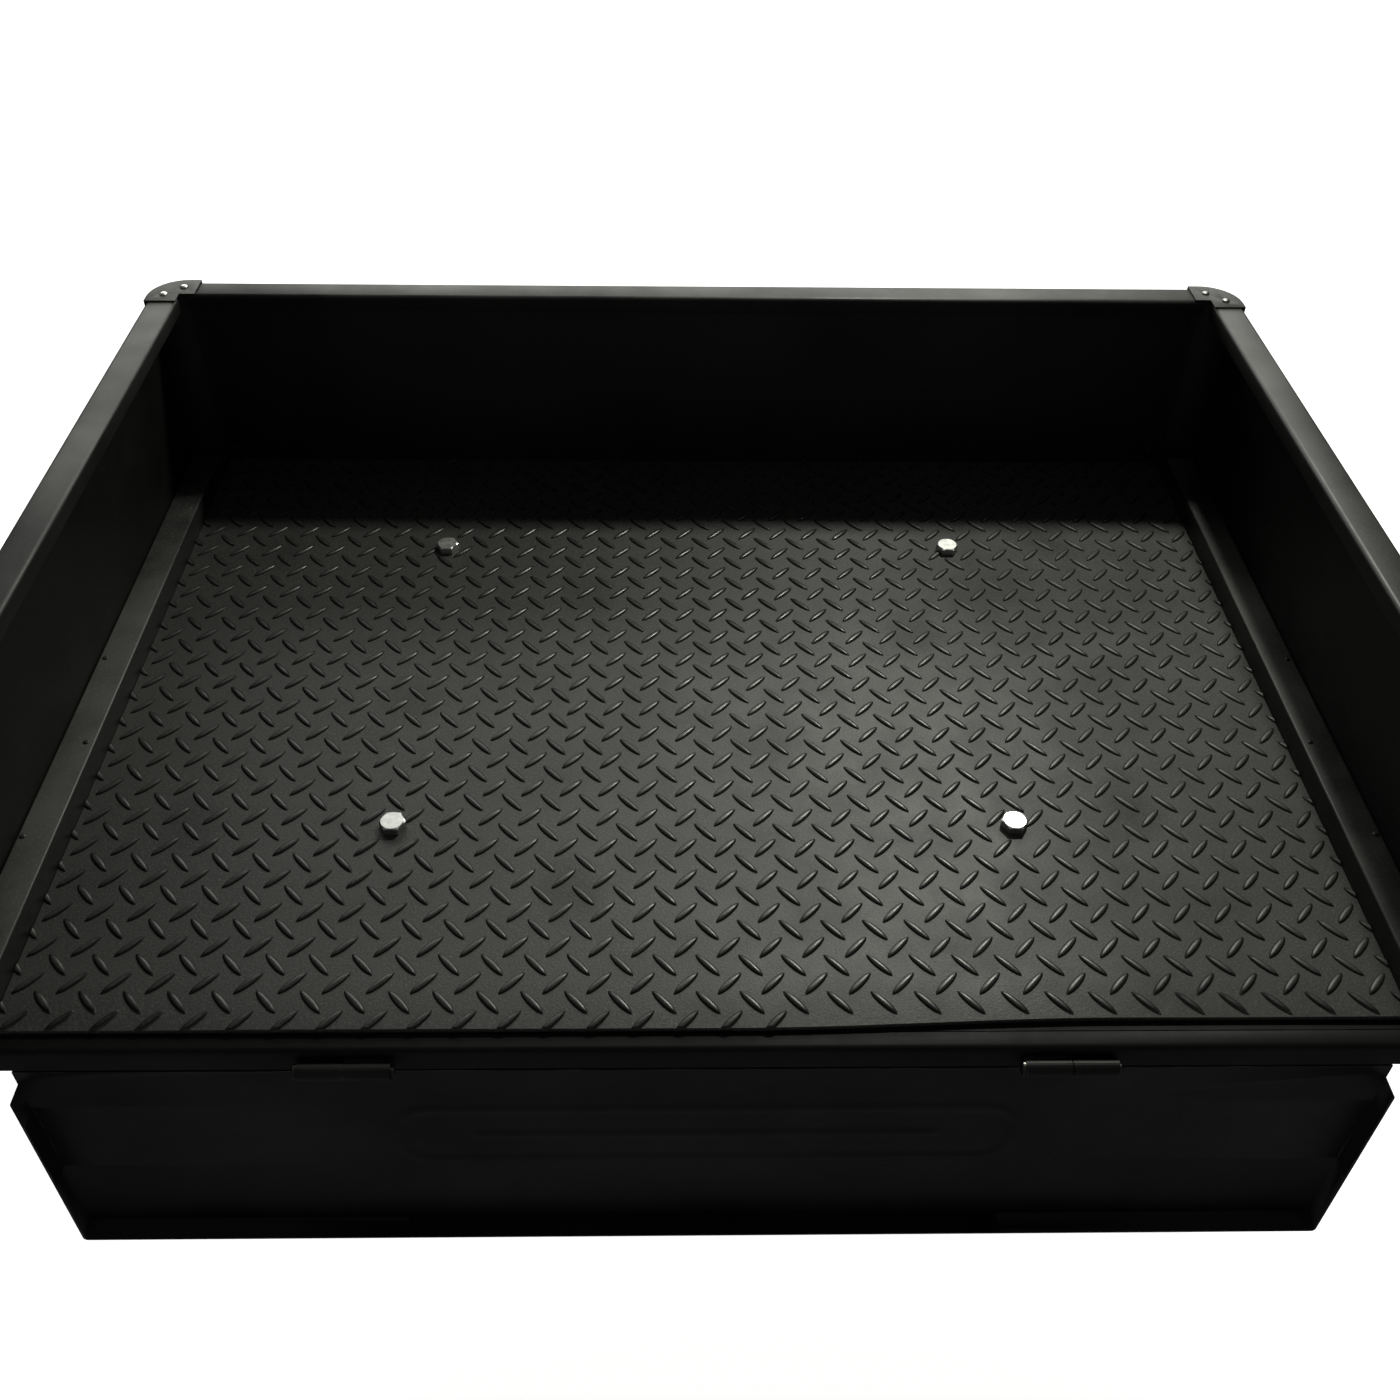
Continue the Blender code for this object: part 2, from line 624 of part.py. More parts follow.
def make_hinge(side, sign):
    """Make a weld-on barrel hinge: a knuckle on the sill, one on the tailgate, and the pin."""
    axis = (HINGE_Y, HINGE_Z)
    leaf_back = SILL_Y - GAP
    leaf_face = leaf_back - LEAF_T
    middle = sign * HINGE_X
    fixed = sorted((middle - sign * GAP, middle - sign * (GAP + KNUCKLE)))
    moving = sorted((middle + sign * GAP, middle + sign * (GAP + KNUCKLE)))
    bore = circle(axis, HINGE_PIN_RADIUS + HOLE_GAP)
    barrel = circle(axis, KNUCKLE_RADIUS)
    leaves = (
        ("sill", fixed, HINGE_Z - SILL_FOOT, HINGE_Z + SILL_FOOT),
        ("gate", moving, HINGE_Z - GATE_FOOT, HINGE_Z + GATE_FOOT_RISE),
    )
    for part, (low, high), leaf_low, leaf_high in leaves:
        knuckle = ring_prism(barrel, bore, "X", low, high)
        leaf = add_object(f"hinge_{part}_leaf_{side}", knuckle, "powder_coat")
        combine(leaf, box((low, leaf_face, leaf_low), (high, leaf_back, leaf_high)), "UNION")
        shade_round(leaf, 30)
    start = middle - KNUCKLE - 2 * GAP
    stop = middle + KNUCKLE + 2 * GAP
    rings = (
        (start - PIN_HEAD, circle(axis, PIN_HEAD_RADIUS - CHAMFER)),
        (start - PIN_HEAD + CHAMFER, circle(axis, PIN_HEAD_RADIUS)),
        (start, circle(axis, PIN_HEAD_RADIUS)),
        (start, circle(axis, HINGE_PIN_RADIUS)),
        (stop + PIN_HEAD - CHAMFER, circle(axis, HINGE_PIN_RADIUS)),
        (stop + PIN_HEAD, circle(axis, HINGE_PIN_RADIUS - CHAMFER)),
    )
    shade_round(add_object(f"hinge_pin_{side}", loft(rings, "X"), "zinc"))


def make_gate_bolt(side, sign):
    """Make a sliding bolt: the rod with its handle, in a guide on the tailgate's outer face."""
    seat_y = SILL_Y + GATE_T + GAP
    rod_y = seat_y + GUIDE_PLATE_T + GUIDE_SIZE / 2
    rod_z = HINGE_Z - BOLT_LINE
    half = GUIDE_SIZE / 2
    foot_half = half + GUIDE_MARGIN

    low_x, high_x = sorted((sign * (GUIDE_INNER_X - foot_half), sign * (GUIDE_OUTER_X + foot_half)))
    plate = box((low_x, seat_y, rod_z - foot_half), (high_x, seat_y + GUIDE_PLATE_T, rod_z + foot_half))
    guide = add_object(f"gate_bolt_guide_{side}", plate, "powder_coat")
    for centre_x in (sign * GUIDE_INNER_X, sign * GUIDE_OUTER_X):
        block_low = (centre_x - GUIDE_WIDTH / 2, seat_y + GAP, rod_z - half)
        block_high = (centre_x + GUIDE_WIDTH / 2, rod_y + half, rod_z + half)
        combine(guide, box(block_low, block_high), "UNION")
    drill(guide, "X", (rod_y, rod_z), ROD_RADIUS + HOLE_GAP, low_x, high_x)

    axis = (rod_y, rod_z)
    rings = (
        (sign * ROD_INNER_X, circle(axis, ROD_RADIUS - CHAMFER)),
        (sign * (ROD_INNER_X + CHAMFER), circle(axis, ROD_RADIUS)),
        (sign * (ROD_OUTER_X - CHAMFER), circle(axis, ROD_RADIUS)),
        (sign * ROD_OUTER_X, circle(axis, ROD_RADIUS - CHAMFER)),
    )
    bolt = add_object(f"gate_bolt_{side}", loft(rings, "X"), "zinc")
    foot = (sign * HANDLE_X, rod_z)
    tip_y = rod_y + HANDLE_LENGTH
    handle = (
        (rod_y, circle(foot, HANDLE_RADIUS, 20)),
        (tip_y - KNOB_LENGTH, circle(foot, HANDLE_RADIUS, 20)),
        (tip_y - KNOB_LENGTH + 2 * CHAMFER, circle(foot, KNOB_RADIUS, 20)),
        (tip_y - 2 * CHAMFER, circle(foot, KNOB_RADIUS, 20)),
        (tip_y, circle(foot, HANDLE_RADIUS, 20)),
    )
    combine(bolt, loft(handle, "Y"), "UNION")
    shade_round(bolt, 30)
    make_keeper(side, sign, 2 * HINGE_Y - rod_y, 2 * HINGE_Z - rod_z)


def make_keeper(side, sign, hole_y, hole_z):
    """Make the bracket on the rear post that a sliding bolt enters when the tailgate is shut."""
    face_y = SILL_Y - GAP - KEEPER_T / 2
    tab_x = PANEL_IN_X - POST_LEG + KEEPER_T / 2
    path = (
        (sign * (PANEL_IN_X - GAP), face_y),
        (sign * tab_x, face_y),
        (sign * tab_x, SILL_Y - KEEPER_REACH),
    )
    low_z, high_z = hole_z - KEEPER_HEIGHT / 2, hole_z + KEEPER_HEIGHT / 2
    bracket = prism(sheet_outline(path, KEEPER_T, SHEET_BEND), "Z", low_z, high_z)
    keeper = add_object(f"gate_bolt_keeper_{side}", bracket, "powder_coat")
    shade_round(keeper, 50)
    low_x, high_x = sorted((sign * (tab_x - KEEPER_T), sign * (tab_x + KEEPER_T)))
    drill(keeper, "X", (hole_y, hole_z), ROD_RADIUS + KEEPER_ROOM, low_x, high_x)


# ---- Assembly ----------------------------------------------------------------------------


def clear_scene():
    """Remove every object of the open file."""
    for obj in list(bpy.data.objects):
        bpy.data.objects.remove(obj, do_unlink=True)


def main():
    """Build every sub-part."""
    clear_scene()
    make_shank()
    make_hitch_pin()
    make_floor()
    make_front()
    for place, beam_y in BEAM_YS.items():
        make_beam(place, beam_y)
        for side, sign in SIDES.items():
            make_floor_fixing(place, side, (sign * BOLT_X, beam_y))
    make_gate()
    for side, sign in SIDES.items():
        make_side(side, sign)
        make_corner(side, sign)
        make_hinge(side, sign)
        make_gate_bolt(side, sign)


main()
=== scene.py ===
"""Looks of a hitch cargo carrier: an open black steel box with a treaded rubber mat.

Metres, +Z up, +Y towards the towing vehicle. "front" is the vehicle's side of the box.
"""

import json
import math

import bmesh
import bpy
import numpy as np
from mathutils import Matrix, Vector


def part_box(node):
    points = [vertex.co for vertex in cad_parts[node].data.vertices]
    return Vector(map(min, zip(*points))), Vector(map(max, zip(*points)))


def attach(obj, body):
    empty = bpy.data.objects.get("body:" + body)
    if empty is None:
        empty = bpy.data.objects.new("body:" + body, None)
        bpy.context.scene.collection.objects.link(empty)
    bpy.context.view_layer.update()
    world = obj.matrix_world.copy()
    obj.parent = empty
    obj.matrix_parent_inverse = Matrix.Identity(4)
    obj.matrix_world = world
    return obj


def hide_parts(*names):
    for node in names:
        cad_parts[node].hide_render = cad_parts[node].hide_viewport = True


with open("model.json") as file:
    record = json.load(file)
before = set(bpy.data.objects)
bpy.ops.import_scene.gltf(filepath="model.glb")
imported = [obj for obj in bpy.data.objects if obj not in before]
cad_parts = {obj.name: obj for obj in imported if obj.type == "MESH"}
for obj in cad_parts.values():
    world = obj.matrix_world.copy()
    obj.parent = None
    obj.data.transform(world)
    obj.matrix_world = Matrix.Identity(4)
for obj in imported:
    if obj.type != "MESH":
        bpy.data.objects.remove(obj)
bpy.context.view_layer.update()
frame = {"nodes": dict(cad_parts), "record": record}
NODES = frame["nodes"]

SIDES = {"left": -1, "right": 1}

# ---- Node materials ----------------------------------------------------------------------


def grey(value, warmth=1.0):
    """Return a near-neutral colour whose blue is scaled by the warmth."""
    return (value, value, value * warmth)


class Shader:
    """A Principled material with its nodes added one at a time."""

    def __init__(self, name, colour, roughness, metallic=0.0, specular=0.5):
        self.material = bpy.data.materials.new(name)
        self.material.use_nodes = True
        self.material.diffuse_color = (*colour, 1.0)
        self.tree = self.material.node_tree
        self.principled = self.tree.nodes["Principled BSDF"]
        self.set("Base Color", (*colour, 1.0))
        self.set("Roughness", roughness)
        self.set("Metallic", metallic)
        self.set("Specular IOR Level", specular)
        self.place = self.add("ShaderNodeTexCoord").outputs["Object"]
        self.height = None

    def set(self, socket, value):
        self.principled.inputs[socket].default_value = value

    def add(self, kind, **values):
        node = self.tree.nodes.new(kind)
        for key, value in values.items():
            setattr(node, key, value)
        return node

    def link(self, output, target):
        self.tree.links.new(output, target)

    def feed(self, socket, output):
        self.link(output, self.principled.inputs[socket])

    def noise(self, scale, detail=2.0, roughness=0.5):
        """Noise with the given features per metre."""
        node = self.add("ShaderNodeTexNoise")
        node.inputs["Scale"].default_value = scale
        node.inputs["Detail"].default_value = detail
        node.inputs["Roughness"].default_value = roughness
        self.link(self.place, node.inputs["Vector"])
        return node.outputs["Fac"]

    def cells(self, scale):
        """Distance to the nearest of many scattered points, with the given cells per metre."""
        node = self.add("ShaderNodeTexVoronoi")
        node.inputs["Scale"].default_value = scale
        self.link(self.place, node.inputs["Vector"])
        return node.outputs["Distance"]

    def remap(self, output, low, high, to_low=0.0, to_high=1.0):
        node = self.add("ShaderNodeMapRange")
        node.inputs["From Min"].default_value = low
        node.inputs["From Max"].default_value = high
        node.inputs["To Min"].default_value = to_low
        node.inputs["To Max"].default_value = to_high
        self.link(output, node.inputs["Value"])
        return node.outputs["Result"]

    def maths(self, operation, first, second):
        node = self.add("ShaderNodeMath", operation=operation)
        for slot, value in zip(node.inputs, (first, second)):
            if isinstance(value, (int, float)):
                slot.default_value = value
            else:
                self.link(value, slot)
        return node.outputs["Value"]

    def mix(self, share, first, second):
        """Mix two colours, each given as a colour or as a socket."""
        node = self.add("ShaderNodeMix", data_type="RGBA")
        self.link(share, node.inputs["Factor"])
        for name, value in (("A", first), ("B", second)):
            slot = [s for s in node.inputs if s.name == name and s.type == "RGBA"][0]
            if isinstance(value, tuple):
                slot.default_value = (*value, 1.0)
            else:
                self.link(value, slot)
        return [s for s in node.outputs if s.type == "RGBA"][0]

    def bump(self, output, strength, distance):
        """Add a bump layer on top of those already there."""
        node = self.add("ShaderNodeBump")
        node.inputs["Strength"].default_value = strength
        node.inputs["Distance"].default_value = distance
        self.link(output, node.inputs["Height"])
        if self.height is not None:
            self.link(self.height, node.inputs["Normal"])
        self.height = node.outputs["Normal"]
        self.feed("Normal", self.height)

    def facing_up(self):
        """1 on surfaces that face up, 0 on upright ones and those that face down."""
        split = self.add("ShaderNodeSeparateXYZ")
        self.link(self.add("ShaderNodeNewGeometry").outputs["Normal"], split.inputs["Vector"])
        return self.remap(split.outputs["Z"], 0.3, 0.95)

    def edges(self, radius):
        """1 on sharp edges and 0 on flats."""
        round_normal = self.add("ShaderNodeBevel", samples=4)
        round_normal.inputs["Radius"].default_value = radius
        dot = self.add("ShaderNodeVectorMath", operation="DOT_PRODUCT")
        self.link(round_normal.outputs["Normal"], dot.inputs[0])
        self.link(self.add("ShaderNodeNewGeometry").outputs["Normal"], dot.inputs[1])
        return self.remap(dot.outputs["Value"], 0.985, 0.80)


def powder_coat(name, base=0.0075, rough=0.40, dust=0.5, dust_tone=0.060, gloss_level=0.5):
    """Semi-gloss black powder coat on steel, with its orange peel, dust, and sharp edges lightened partly
    as rubbed wear and partly as a painted highlight.
    """
    shader = Shader(name, grey(base, 1.03), rough, specular=gloss_level)
    cloud = shader.remap(shader.noise(7, 4, 0.6), 0.35, 0.65)
    colour = shader.mix(cloud, grey(base * 0.7), grey(base * 1.35))
    speckle = shader.remap(shader.noise(420, 3, 0.7), 0.55, 0.74)
    fine, coarse = (shader.maths("MULTIPLY", layer, 0.5) for layer in (speckle, cloud))
    film = shader.maths("ADD", fine, coarse)
    settled = shader.maths("MULTIPLY", shader.facing_up(), film)
    colour = shader.mix(shader.maths("MULTIPLY", settled, dust), colour, grey(dust_tone, 0.93))
    patches = shader.remap(shader.noise(38, 3, 0.65), 0.45, 0.62)
    # sharp edges lightened in patches: partly rubbed wear, partly a painted edge highlight
    edge_wear_and_highlight = shader.maths("MULTIPLY", shader.edges(0.0007), patches)
    colour = shader.mix(shader.maths("MULTIPLY", edge_wear_and_highlight, 0.7), colour, grey(0.10))
    shader.feed("Base Color", colour)
    gloss = shader.remap(shader.noise(16, 5, 0.6), 0.3, 0.7, rough - 0.07, rough + 0.09)
    shader.feed("Roughness", shader.maths("ADD", gloss, shader.maths("MULTIPLY", speckle, 0.10)))
    shader.bump(shader.noise(620, 1, 0.4), 0.22, 0.0002)
    shader.bump(shader.noise(2400, 1, 0.5), 0.12, 0.0001)
    return shader.material


# where the mat's dry areas begin and are complete
DRY_FRONT_Y = (-0.62, -0.46)
DRY_FRONT_X = (0.13, 0.24)
DRY_SIDE_X = (0.19, 0.31)


def rubber(name, surface_z, edge_y, taper_depth, taper_drop):
    """Moulded black rubber: a coarse grain between the lugs, flanks darkened with painted shade and
    smoother lug tops.

    Its zones go by the height above the sheet's flat level, surface_z. Over the taper depth in
    front of edge_y the sheet is thinner, so the height is corrected for most of the taper's drop.
    """
    base = 0.026
    grain_tone, flank_painted_shade = grey(0.095, 0.92), grey(0.004)
    taper_share = 0.75
    foot_low, foot_high = 0.0005, 0.0007
    flank_low, flank_high = 0.0012, 0.0017
    ground_low, ground_high = 0.0008, 0.0015
    shader = Shader(name, grey(base, 0.96), 0.44)
    split = shader.add("ShaderNodeSeparateXYZ")
    shader.link(shader.place, split.inputs["Vector"])
    share = shader.remap(split.outputs["Y"], edge_y + taper_depth, edge_y)
    drop = shader.maths("MULTIPLY", shader.maths("MULTIPLY", share, share), taper_share * taper_drop)
    level = shader.maths("ADD", split.outputs["Z"], drop)
    ground = shader.remap(level, surface_z + ground_high, surface_z + ground_low)
    foot = shader.remap(level, surface_z + foot_low, surface_z + foot_high)
    below_top = shader.remap(level, surface_z + flank_high, surface_z + flank_low)
    flank = shader.maths("MULTIPLY", foot, below_top)
    cloud = shader.remap(shader.noise(5, 4, 0.6), 0.3, 0.7)
    colour = shader.mix(cloud, grey(base * 0.8, 0.96), grey(base * 1.25, 0.94))
    specks = shader.remap(shader.noise(620, 3, 0.75), 0.50, 0.70)
    colour = shader.mix(shader.maths("MULTIPLY", specks, 0.75), colour, grain_tone)
    # painted shade: the lugs' flanks are darkened as if shaded
    colour = shader.mix(shader.maths("MULTIPLY", flank, 0.85), colour, flank_painted_shade)
    shader.feed("Base Color", colour)
    shader.feed("Specular IOR Level", shader.remap(flank, 0.0, 1.0, 0.5, 0.16))
    smear = shader.remap(shader.noise(22, 4, 0.6), 0.3, 0.7, 0.0, 0.10)
    # the front right corner and, less so, the whole right side are drier and therefore rougher
    dry_front = shader.remap(split.outputs["Y"], *DRY_FRONT_Y)
    dry_corner = shader.maths("MULTIPLY", shader.remap(split.outputs["X"], *DRY_FRONT_X), dry_front)
    dry_side = shader.remap(split.outputs["X"], *DRY_SIDE_X, 0.0, 0.7)
    dry = shader.maths("MAXIMUM", dry_corner, dry_side)
    smear = shader.maths("ADD", smear, shader.maths("MULTIPLY", dry, 0.20))
    dull = shader.maths("ADD", shader.maths("MULTIPLY", ground, 0.18), 0.27)
    shader.feed("Roughness", shader.maths("ADD", dull, smear))
    grain = shader.noise(600, 3, 0.70)
    shader.bump(shader.maths("MULTIPLY", grain, shader.maths("ADD", ground, 0.10)), 0.60, 0.0004)
    shader.bump(shader.noise(1900, 2, 0.6), 0.25, 0.0002)
    return shader.material


def zinc(name, tint=(0.78, 0.78, 0.76)):
    """Zinc plate with its crystal cloud, a fine grain and a few dull spots."""
    shader = Shader(name, tint, 0.38, metallic=1.0)
    cloud = shader.remap(shader.noise(260, 4, 0.6), 0.35, 0.68)
    colour = shader.mix(cloud, tuple(c * 0.82 for c in tint), tint)
    dull = shader.remap(shader.noise(90, 3, 0.6), 0.60, 0.78)
    colour = shader.mix(shader.maths("MULTIPLY", dull, 0.6), colour, (0.42, 0.40, 0.36))
    shader.feed("Base Color", colour)
    shader.feed("Roughness", shader.remap(shader.noise(500, 3, 0.6), 0.3, 0.7, 0.32, 0.46))
    shader.bump(shader.noise(1500, 3, 0.6), 0.06, 0.0001)
    return shader.material


def plastic(name):
    """Moulded black polyethylene with a fine spark-eroded texture."""
    base = 0.014
    low, high = (base * 0.75, base * 0.75, base * 0.8), (base * 1.4, base * 1.4, base * 1.35)
    shader = Shader(name, (base, base, base), 0.5)
    cloud = shader.remap(shader.noise(30, 3, 0.6), 0.3, 0.7)
    colour = shader.mix(cloud, low, high)
    # painted highlight: sharp edges are painted paler
    pale = shader.maths("MULTIPLY", shader.edges(0.0006), 0.35)
    colour = shader.mix(pale, colour, (0.07, 0.07, 0.07))
    shader.feed("Base Color", colour)
    shader.feed("Roughness", shader.remap(shader.noise(60, 3, 0.6), 0.3, 0.7, 0.42, 0.58))
    shader.bump(shader.cells(1100), 0.25, 0.0001)
    return shader.material


# ---- Mesh helpers ------------------------------------------------------------------------


def add_piece(name, mesh, material, body):
    """Link a mesh as a piece that rides on a body."""
    obj = bpy.data.objects.new(name, mesh)
    bpy.context.scene.collection.objects.link(obj)
    mesh.materials.clear()
    mesh.materials.append(material)
    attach(obj, body)
    return obj


def mesh_from(name, points, faces, smooth_angle=None):
    """Return a mesh from points and faces, shaded smooth below an angle in degrees."""
    mesh = bpy.data.meshes.new(name)
    mesh.from_pydata([tuple(p) for p in points], [], faces)
    mesh.validate()
    if smooth_angle is not None:
        mesh.shade_smooth()
        mesh.set_sharp_from_angle(angle=math.radians(smooth_angle))
    mesh.update()
    return mesh


def carve(obj, cutters):
    """Subtract cutters from an object and keep the result as its mesh."""
    for cutter in cutters:
        modifier = obj.modifiers.new("Cut", "BOOLEAN")
        modifier.operation = "DIFFERENCE"
        modifier.solver = "EXACT"
        modifier.object = cutter
    depsgraph = bpy.context.evaluated_depsgraph_get()
    mesh = bpy.data.meshes.new_from_object(obj.evaluated_get(depsgraph))
    obj.modifiers.clear()
    obj.data = mesh
    for cutter in cutters:
        bpy.data.objects.remove(cutter, do_unlink=True)


def trim(mesh, place, outward):
    """Cut away what lies beyond a plane and close the cuts."""
    shape = bmesh.new()
    shape.from_mesh(mesh)
    everything = [*shape.verts, *shape.edges, *shape.faces]
    cut = bmesh.ops.bisect_plane(shape, geom=everything, plane_co=place, plane_no=outward, clear_outer=True)
    rims = [part for part in cut["geom_cut"] if isinstance(part, bmesh.types.BMEdge)]
    bmesh.ops.holes_fill(shape, edges=rims, sides=0)
    shape.to_mesh(mesh)
    shape.free()


# ---- CAD nodes that stay -----------------------------------------------------------------

# One black powder coat, copied per part. The base tones differ as painted light and shade, set by how light
# falls on each part: the front panel is painted lighter, and the side panels, tailgate and sill darker.
COATS_WITH_PAINTED_LIGHT = {
    "rim": powder_coat("powder_coat_rim", 0.0070, 0.46, 0.90, 0.085, 0.36),
    "ledge": powder_coat("powder_coat_ledge", 0.0130, 0.46, 1.0, 0.16),
    "front": powder_coat("powder_coat_front", 0.0085, 0.46, 0.25),
    "side": powder_coat("powder_coat_side", 0.0040, 0.50, 0.25, 0.06, 0.30),
    "gate": powder_coat("powder_coat_gate", 0.0030, 0.46, 0.20, gloss_level=0.30),
    "sill": powder_coat("powder_coat_sill", 0.0025, 0.58, 0.12, 0.05, 0.20),
    "frame": powder_coat("powder_coat_frame", 0.0060, 0.40, 0.40),
}
ZINC = zinc("zinc_plate")
AGED_ZINC = zinc("aged_zinc_plate", (0.09, 0.09, 0.085))
DARKER_ZINC = zinc("darker_zinc_plate", (0.30, 0.30, 0.29))
PLASTIC = plastic("black_polyethylene")
SLOTS = {row["node"]: row["material_slot"] for row in frame["record"]["subparts"]}

# the powder coat of each node by the start of its name
COATED = (
    ("rim_rail", "rim"),
    ("corner_cap", "rim"),
    ("floor_ledge", "ledge"),
    ("floor_pan", "sill"),
    ("rear_sill", "sill"),
    ("tailgate", "gate"),
    ("hinge", "gate"),
    ("gate_bolt_guide", "gate"),
    ("front_panel", "front"),
    ("side_panel", "side"),
)


def coating_of(node):
    """Return the powder coat for a node; those not listed belong to the frame."""
    for start, name in COATED:
        if node.startswith(start):
            return COATS_WITH_PAINTED_LIGHT[name]
    return COATS_WITH_PAINTED_LIGHT["frame"]


def finish_of(node):
    """Return the material of a node."""
    if node.startswith("hinge_pin"):
        return AGED_ZINC
    # the right corner cap's rivets get a darker copy of the zinc plate
    if node.startswith("corner_rivet_right"):
        return DARKER_ZINC
    looks = {"zinc_hardware": ZINC, "black_plastic": PLASTIC}
    return looks.get(SLOTS[node]) or coating_of(node)


for node, obj in NODES.items():
    obj.data.materials.clear()
    obj.data.materials.append(finish_of(node))

# ---- Rounded edges of tubes, folded sheet and caps ---------------------------------------

MERGE = 0.00001  # corners closer than this are one
ROUND_ABOVE = math.radians(50)
ROUND_STEPS = 3

# the radius of each node's edges
ROUNDED = {
    "rim_rail_front": 0.0006,
    "rim_rail_left": 0.0006,
    "rim_rail_right": 0.0006,
    "corner_cap_left": 0.0007,
    "corner_cap_right": 0.0007,
    "floor_ledge_left": 0.0008,
    "floor_ledge_right": 0.0008,
    "rear_sill": 0.0007,
    "rear_post_left": 0.0008,
    "rear_post_right": 0.0008,
    "front_beam": 0.0016,
    "rear_beam": 0.0016,
    "hitch_shank": 0.0020,
    "rim_end_cap_left": 0.0008,
    "rim_end_cap_right": 0.0008,
    "front_beam_plug_left": 0.0010,
    "front_beam_plug_right": 0.0010,
    "rear_beam_plug_left": 0.0010,
    "rear_beam_plug_right": 0.0010,
}


def add_rounded(node, width):
    """Replace a node by a copy of itself whose edges are rounded to a radius."""
    shape = bmesh.new()
    shape.from_mesh(NODES[node].data)
    bmesh.ops.remove_doubles(shape, verts=shape.verts, dist=MERGE)
    bmesh.ops.dissolve_limit(shape, angle_limit=math.radians(1), verts=shape.verts, edges=shape.edges)
    mesh = bpy.data.meshes.new(node + "_rounded")
    shape.to_mesh(mesh)
    shape.free()
    mesh.shade_smooth()
    obj = add_piece(node + "_rounded", mesh, finish_of(node), "carrier")
    bevel = obj.modifiers.new("Round", "BEVEL")
    bevel.width = width
    bevel.segments = ROUND_STEPS
    bevel.limit_method = "ANGLE"
    bevel.angle_limit = ROUND_ABOVE
    bevel.harden_normals = True
    depsgraph = bpy.context.evaluated_depsgraph_get()
    obj.data = bpy.data.meshes.new_from_object(obj.evaluated_get(depsgraph))
    obj.modifiers.clear()
    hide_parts(node)


for node, width in ROUNDED.items():
    add_rounded(node, width)

# ---- Rubber mat --------------------------------------------------------------------------

PITCH_X = 0.02813
PITCH_Y = 0.02942
LATTICE_X = 0.01815  # the place of one lug, from which the lattice is laid out
LATTICE_Y = 0.01886
LATTICE_TURN = math.radians(-0.30)
LUG_HALF_LENGTH = 0.0117
LUG_HALF_WIDTH = 0.0028
LUG_HEIGHT = 0.0017
LUG_TILT = math.radians(48)
LUG_SUNK = 0.0004
TAPER_DEPTH = 0.034  # how far the thinned rear edge reaches into the mat
TAPER_DROP = 0.0012
EDGE_SHORT = 0.0065  # the mat is cut this much short at its right rear edge
EDGE_CUT_FROM = 0.02  # where the cut starts to leave the straight edge
EDGE_CUT_RUN = 0.24
SWELL = 0.00025  # how far the sheet's long waves rise and fall
SHEET_RISE = 0.0003
BOLT_HOLE_RADIUS = 0.0053
BOLT_HOLE_DEPTH = 0.03
BOLT_HEAD_ROOM = 0.0105  # no lug has its centre nearer than this to a bolt's axis
TRIM = 0.0004  # lugs are cut off this far inside the mat's outline

mat_low, mat_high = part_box("floor_mat")
bolt_spots = []
for node in NODES:
    if node.startswith("floor_bolt_"):
        low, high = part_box(node)
        bolt_spots.append(((low.x + high.x) / 2, (low.y + high.y) / 2))


def to_right(x):
    """Return 0 on the left half of the mat, rising smoothly to 1 on its right half."""
    share = np.clip((x - EDGE_CUT_FROM) / EDGE_CUT_RUN, 0, 1)
    return share * share * (3 - 2 * share)


def rear_edge(x):
    """Return where the mat's rear edge runs."""
    return mat_low.y + EDGE_SHORT * to_right(x)


def mat_lift(x, y):
    """Return how far the mat's surface stands above its flat level at a place."""
    wave = SWELL * np.sin(x * 23.0 + 0.6) * np.sin(y * 19.0 + x * 4.0 + 1.1)
    share = np.clip((rear_edge(x) + TAPER_DEPTH - y) / TAPER_DEPTH, 0, 1)
    uneven = 1.0 + 0.10 * np.sin(x * 13.0 + 0.9) + 0.06 * np.sin(x * 31.0 + 2.0)
    return wave + SHEET_RISE - TAPER_DROP * uneven * share * share


def mat_slab():
    """Return the mat's sheet as a closed grid, finer towards the rear edge."""
    across, along = 120, 96
    crowding = 1.35
    xs = np.linspace(mat_low.x, mat_high.x, across + 1)
    share = np.linspace(0, 1, along + 1)
    points, faces = [], []
    for level in (0, 1):
        for step in share:
            for x in xs:
                edge = float(rear_edge(x))
                y = edge + (mat_high.y - edge) * step**crowding
                lift = float(mat_lift(x, y))
                z = mat_high.z + lift if level else mat_low.z + max(lift, 0.0)
                points.append((x, y, z))
    row, sheet = across + 1, (across + 1) * (along + 1)
    for j in range(along):
        for i in range(across):
            a = j * row + i
            faces.append((sheet + a, sheet + a + 1, sheet + a + row + 1, sheet + a + row))
            faces.append((a, a + row, a + row + 1, a + 1))
    for i in range(across):
        a, b = i, along * row + i
        faces.append((a, a + 1, sheet + a + 1, sheet + a))
        faces.append((b + 1, b, sheet + b, sheet + b + 1))
    for j in range(along):
        a, b = j * row, j * row + across
        faces.append((a + row, a, sheet + a, sheet + a + row))
        faces.append((b, b + row, sheet + b + row, sheet + b))
    return mesh_from("mat_sheet", points, faces, 40)


